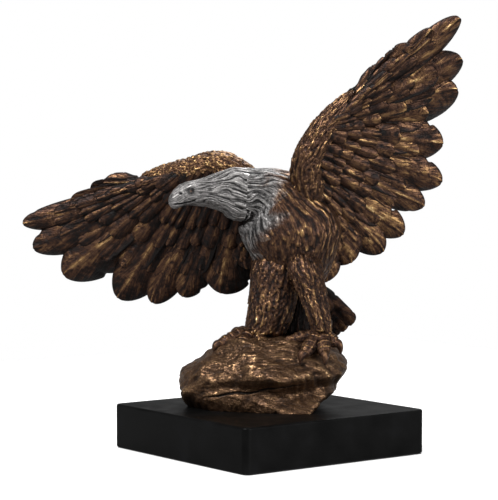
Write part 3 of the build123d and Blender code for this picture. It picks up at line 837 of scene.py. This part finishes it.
def round_limb(path, radii, rings, columns, count, seed, ring_height):
    """A limb along a curve, its radius read from radii, with horny plates: ridges across its top that rise
    slowly and fall off sharply."""
    line = curve_through(path, count)
    radius = curve_through(np.array(radii)[:, None], count)[:, 0] * dome(count, 0.05, 0.03)
    ahead = unit(np.gradient(line, axis=0))
    side = unit(np.cross(np.array([0.02, 0.03, 1.0]), ahead))
    up = np.cross(ahead, side)
    grid = tube_grid(line, side, up, radius, 0.92 * radius, columns)
    turn = np.linspace(0, 2 * math.pi, columns, endpoint=False)[None]
    t = np.linspace(0, 1, count)[:, None]
    saw = (t * rings + 0.15 * np.cos(turn)) % 1.0
    top = smooth(-0.2, 0.7, np.sin(turn))
    plate = ring_height * (saw**1.5 - 0.4) * top
    lumps = 1.0 * rumple(t * rings * 1.2 + 0 * turn, turn * 8 / (2 * math.pi) + 0 * t, seed, 8)
    rise = (plate + lumps) * np.minimum(1, radius / 2)[:, None]
    grid = grid + outward(grid) * rise[..., None]
    rub_and_shade = rubbed(rise, 0.9, 3, 3) + 0.10 * top - 0.12
    strands = np.stack([t * 20 + 0 * turn, turn * radius[:, None], 0 * t + 0 * turn], -1)
    return closed_tubes(grid[None], {"rub_and_shade": rub_and_shade[None], "strands": strands[None], "silver": 0 * rub_and_shade[None]})


def make_foot(name, node, ankle, toes, seed):
    """A scaled tarsus with four toes. Each toe arches up to its knuckle and down to its pad, and ends in a
    long hooked talon."""
    x, y = ankle
    palm = np.array([x, y, perch + 4.0])
    shin = [(x, y, perch + 16), (x, y, perch + 9), (x, y, perch + 3)]
    parts = [round_limb(shin, [5.8, 5.2, 7.0], 5, 40, 60, seed, 0.5)]
    for number, (angle, length, drop) in enumerate(toes):
        way = np.array([math.cos(math.radians(angle)), math.sin(math.radians(angle)), 0.0])
        rise = np.array([0, 0, 1.0])
        end = palm + way * length - rise * (drop + 0.5)
        knuckle = palm + way * 0.5 * length + rise * (1.6 - 0.2 * drop)
        instep = palm + way * 0.25 * length + rise * 1.4
        pad = palm + way * 0.78 * length + rise * (0.4 - 0.6 * drop)
        path = [palm, instep, knuckle, pad, end]
        parts.append(round_limb(path, [5.4, 4.5, 3.8, 4.1, 3.2], 6, 40, 110, seed + number, 0.5))
        tip = end + way * 4.0 - rise * 6.5
        claw = [end + rise * 0.6 - way * 1.5, end + way * 2.2 + rise * 0.3, end + way * 3.8 - rise * 2.8, tip]
        parts.append(round_limb(claw, [2.9, 2.5, 1.6, 0.4], 1, 20, 40, seed + number, 0.0))
    piece(name, parts, bronze, [node])


make_foot("right_foot_toes", "right_foot", right_ankle, right_toes, 300)
make_foot("left_foot_toes", "left_foot", left_ankle, left_toes, 320)


# ---------------------------------------------------------------- tail

tail_root = np.array([22.0, 18.0, perch + 38])
tail_tip = np.array([37.5, 52.0, perch - 7])
tail_across = unit(np.array([0.80, -0.42, 0.35]))


# The tail's layers, as (feathers, length as a share, half spread, half width, lift off the tail)
tail_layers = [(9, 1.0, 28, 8.0, 0.0)]
tail_layers += [(9, 0.60, 17, 5.6, 1.8), (9, 0.60, 17, 5.6, -1.8)]
tail_layers += [(7, 0.56, 9, 5.0, 4.0), (7, 0.56, 9, 5.0, -4.0)]


def make_tail():
    """The tail's fan: long feathers between two layers of shorter coverts on each face."""
    way = tail_tip - tail_root
    normal = unit(np.cross(way, tail_across))
    parts = []
    for count, reach, spread, width, lift in tail_layers:
        fan = np.linspace(-1, 1, count)[:, None]
        offset = normal * (lift + 0.9 * np.cos(fan * math.pi / 2))
        roots = tail_root + tail_across * fan * 4 + offset * 0.6 - way * 0.08
        tips = tail_root + way * reach * (1 - 0.10 * fan**2) + tail_across * fan * spread + offset
        face = 1 if lift >= 0 else -1
        # Painted shade: long feathers darker under the coverts, and the whole tail a little darker, as it lies
        # in shadow.
        covered = (0.5, 0.5) if lift == 0 else (0.0, 0.0)
        bend = (-0.02 * face, 0.02 * face)
        size = dict(greater_row, rows=120, columns=20, thickness=2.2, arch=0.8, bend=bend, shade=-0.06)
        size.update(shaft_side=1, blunt=2.6, crown=(0.3, 0.3), covered=covered)
        parts.append(feather_blades(roots, tips, normal * face, width, size, 400 + count + face))
    piece("tail_fan", parts, bronze, ["tail"])


make_tail()


# ---------------------------------------------------------------- rock

# Blocks that the rock is built of, as (centre x, y, z above the plinth, half sizes x, y, z, planes, seed)
rock_blocks = [
    (-11, 0, 9, 53, 38, 15, 26, 5),
    (-6, -2, 23, 58, 40, 17, 30, 9),
    (6, -3, 31, 50, 40, 18.5, 26, 14),
]


def make_rock():
    """The rock: seen from a point inside it, each block is the nearest of many cutting planes, which gives
    flat chiselled facets, and the furthest of the blocks is the one seen, with a soft join between them.
    Layers, lumps, wrinkles, a crack and a fine grain are added along the same rays, and what would be below
    the plinth's top is laid flat on it."""
    count, columns = 235, 410
    heart = np.array([-4.0, -2.0, plinth_top + 19.0])
    polar = np.linspace(0.004, 0.70 * math.pi, count)[:, None]
    turn = np.linspace(0, 2 * math.pi, columns, endpoint=False)[None]
    flat = np.sin(polar)
    rays = np.stack([flat * np.cos(turn), flat * np.sin(turn), np.cos(polar) + 0 * turn], -1)
    blocks = []
    for x, y, z, half_x, half_y, half_z, planes, seed in rock_blocks:
        rng = np.random.default_rng(seed)
        ways = unit(rng.normal(size=(planes, 3)) * [1, 1, 0.9])
        ways = np.concatenate([ways, [(0, 0, 1), (0, 0, -1)]])
        sizes = np.linalg.norm(ways * [half_x, half_y, half_z], axis=1) * rng.uniform(0.90, 1.0, len(ways))
        offset = (np.array([x, y, plinth_top + z]) - heart) @ ways.T
        facing = rays @ ways.T
        hits = np.where(facing > 0.02, (sizes + offset) / np.maximum(facing, 0.02), 1e6).min(-1)
        blocks.append(hits)
    join, sink, soften = 7.0, 3.5, 3.0
    reach = blur(join * np.log(sum(np.exp(hits / join) for hits in blocks)) - sink, soften, soften)
    points = heart + reach[..., None] * rays
    x, y, z = points[..., 0], points[..., 1], points[..., 2]
    dip = 0.03 * x + 0.8 * noise(x / 18 + 40, y / 18 + 40, 61)
    layer = ridges(z / 9.0 + dip, x * 0.02 + y * 0.03 + 20, 62)
    lumps = noise(x / 11 + 50, z / 8 + y / 13 + 50, 63) + 0.5 * noise(x / 4.5 + 50, z / 3.5 + y / 5 + 50, 64)
    grain = rumple(x / 2.6 + 90, z / 2.4 + y / 2.8 + 90, 65, 256)
    slant = z - plinth_top - 17.5 - 0.16 * x + 2.5 * noise(x / 12 + 30, y / 12 + 30, 66)
    crack = bump(slant, 0, 0.7) * smooth(-48, -30, x) * smooth(30, 8, x)
    wrinkles = rumple(x / 7.0 + 90, z / 5.0 + y / 7.0 + 90, 68, 256)
    rise = 0.9 * layer + 2.4 * lumps + 0.5 * grain + 1.5 * wrinkles - 1.6 * crack - 2.8
    points = heart + (reach + rise)[..., None] * rays
    points[..., 2] = np.maximum(points[..., 2], plinth_top)
    # The crack is painted darker beyond its relief: partly patina in it and partly painted shadow along it.
    rub_and_shade = rubbed(rise, 0.26, 6, 6) + 0.20 * (grain - 0.5) + 0.01 - 0.4 * crack
    strands = np.stack([x, z * 1.0, y], -1)
    tube = closed_tubes(points[None], {"rub_and_shade": rub_and_shade[None], "strands": strands[None], "silver": 0 * rub_and_shade[None]})
    piece("rock_casting", [tube], rock_bronze, ["rock"])


make_rock()


# ---------------------------------------------------------------- plinth, felt and the hidden steel


def black_stone():
    """Cast black stone with a satin polish: nearly black, with a faint cloudy sheen and a fine grain."""
    material, tree, shader = new_material("black_cast_stone")
    cloud = object_noise(tree, (0.05, 0.05, 0.05), 6.0)
    grain = object_noise(tree, (1.1, 1.1, 1.1), 4.0)
    colour = colour_ramp(tree, cloud, [(0.30, "#050505"), (0.55, "#0a0a0a"), (0.75, "#101011")])
    tree.links.new(colour, shader.inputs["Base Color"])
    roughness = add_node(tree, "MapRange", {"Value": cloud, 1: 0.3, 2: 0.7, 3: 0.32, 4: 0.52}).outputs[0]
    tree.links.new(roughness, shader.inputs["Roughness"])
    shader.inputs["Specular IOR Level"].default_value = 0.05
    relief = add_node(tree, "Bump", {"Strength": 0.25, "Distance": 0.12 * MM, "Height": grain})
    tree.links.new(relief.outputs[0], shader.inputs["Normal"])
    return material


def plain_steel():
    """Turned steel rod, with fine rings left by the lathe."""
    material, tree, shader = new_material("turned_steel")
    grain = object_noise(tree, (0.5, 0.5, 4.0), 3.0)
    colour = colour_ramp(tree, grain, [(0.3, "#7c7d80"), (0.7, "#b3b4b7")])
    tree.links.new(colour, shader.inputs["Base Color"])
    shader.inputs["Metallic"].default_value = 1.0
    shader.inputs["Roughness"].default_value = 0.35
    return material


def black_felt():
    """Pressed black felt: no gloss, with a short fuzzy nap."""
    material, tree, shader = new_material("black_felt")
    nap = object_noise(tree, (2.0, 2.0, 2.0), 5.0)
    tree.links.new(colour_ramp(tree, nap, [(0.3, "#0d0d0e"), (0.7, "#202022")]), shader.inputs["Base Color"])
    shader.inputs["Roughness"].default_value = 0.95
    shader.inputs["Sheen Weight"].default_value = 0.3
    relief = add_node(tree, "Bump", {"Strength": 0.6, "Distance": 0.2 * MM, "Height": nap})
    tree.links.new(relief.outputs[0], shader.inputs["Normal"])
    return material


finishes = {"plinth": black_stone(), "felt_pad": black_felt()}
steel = plain_steel()
for name, node in frame["nodes"].items():
    slot = next(part["material_slot"] for part in frame["record"]["subparts"] if part["node"] == name)
    finish = finishes.get(name, steel if slot == "steel" else bronze)
    node.data.materials.clear()
    node.data.materials.append(finish)


# ---------------------------------------------------------------- floor, light and camera


def plain_floor():
    """A pale square of paper to stand on."""
    corners = np.array([(-0.6, -0.6, 0), (0.6, -0.6, 0), (0.6, 0.6, 0), (-0.6, 0.6, 0)])
    floor = make_mesh("floor", corners, [np.array([[0, 1, 2, 3]])], {})
    material, tree, shader = new_material("pale_paper")
    sight = add_node(tree, "LightPath").outputs["Is Camera Ray"]
    shade = add_node(tree, "MapRange", {"Value": sight, 3: 0.34, 4: 0.92}).outputs[0]
    tree.links.new(shade, shader.inputs["Base Color"])
    shader.inputs["Roughness"].default_value = 0.9
    floor.data.materials.append(material)


def soft_light(name, azimuth, height, distance, size, watts):
    """A square soft light that faces the figure. Azimuth 0 is the viewer's side, and 90 the right."""
    light = bpy.data.lights.new(name, "AREA")
    light.energy, light.size = watts, size
    turn = figure_turn + math.radians(azimuth)
    obj = bpy.data.objects.new(name, light)
    place = Vector((math.sin(turn) * distance, -math.cos(turn) * distance, height))
    obj.location = place
    obj.rotation_euler = (place - Vector((0, 0, 0.15))).to_track_quat("Z", "Y").to_euler()
    bpy.context.scene.collection.objects.link(obj)


def make_camera():
    """The viewer's eye: 53 degrees round, almost level, 1.3 m away."""
    azimuth, elevation, distance = figure_turn, math.radians(2.8), 1.3
    aim_across, aim_height = -0.0129, 0.138
    level = math.cos(elevation)
    back = Vector((math.sin(azimuth) * level, -math.cos(azimuth) * level, math.sin(elevation)))
    target = Vector((aim_across * math.cos(azimuth), aim_across * math.sin(azimuth), aim_height))
    camera = bpy.data.objects.new("camera", bpy.data.cameras.new("camera"))
    camera.location = target + back * distance
    camera.rotation_euler = back.to_track_quat("Z", "Y").to_euler()
    camera.data.lens, camera.data.sensor_width = 136.7, 36.0
    bpy.context.scene.collection.objects.link(camera)
    bpy.context.scene.camera = camera


def make_world():
    """A white room that lights the figure only faintly, so that the soft lights do the work."""
    world = bpy.data.worlds.new("studio")
    world.use_nodes = True
    tree = world.node_tree
    sight = add_node(tree, "LightPath").outputs["Is Camera Ray"]
    strength = add_node(tree, "MapRange", {"Value": sight, 3: 0.28, 4: 1.0}).outputs[0]
    background = tree.nodes["Background"]
    background.inputs["Color"].default_value = linear("#ffffff")
    tree.links.new(strength, background.inputs["Strength"])
    bpy.context.scene.world = world
    bpy.context.scene.view_settings.view_transform = "Standard"


plain_floor()
soft_light("key", -40, 0.95, 1.0, 0.6, 26)
soft_light("fill", 48, 0.35, 1.1, 0.7, 10)
soft_light("top", 160, 1.2, 0.7, 0.6, 16)
make_camera()
make_world()
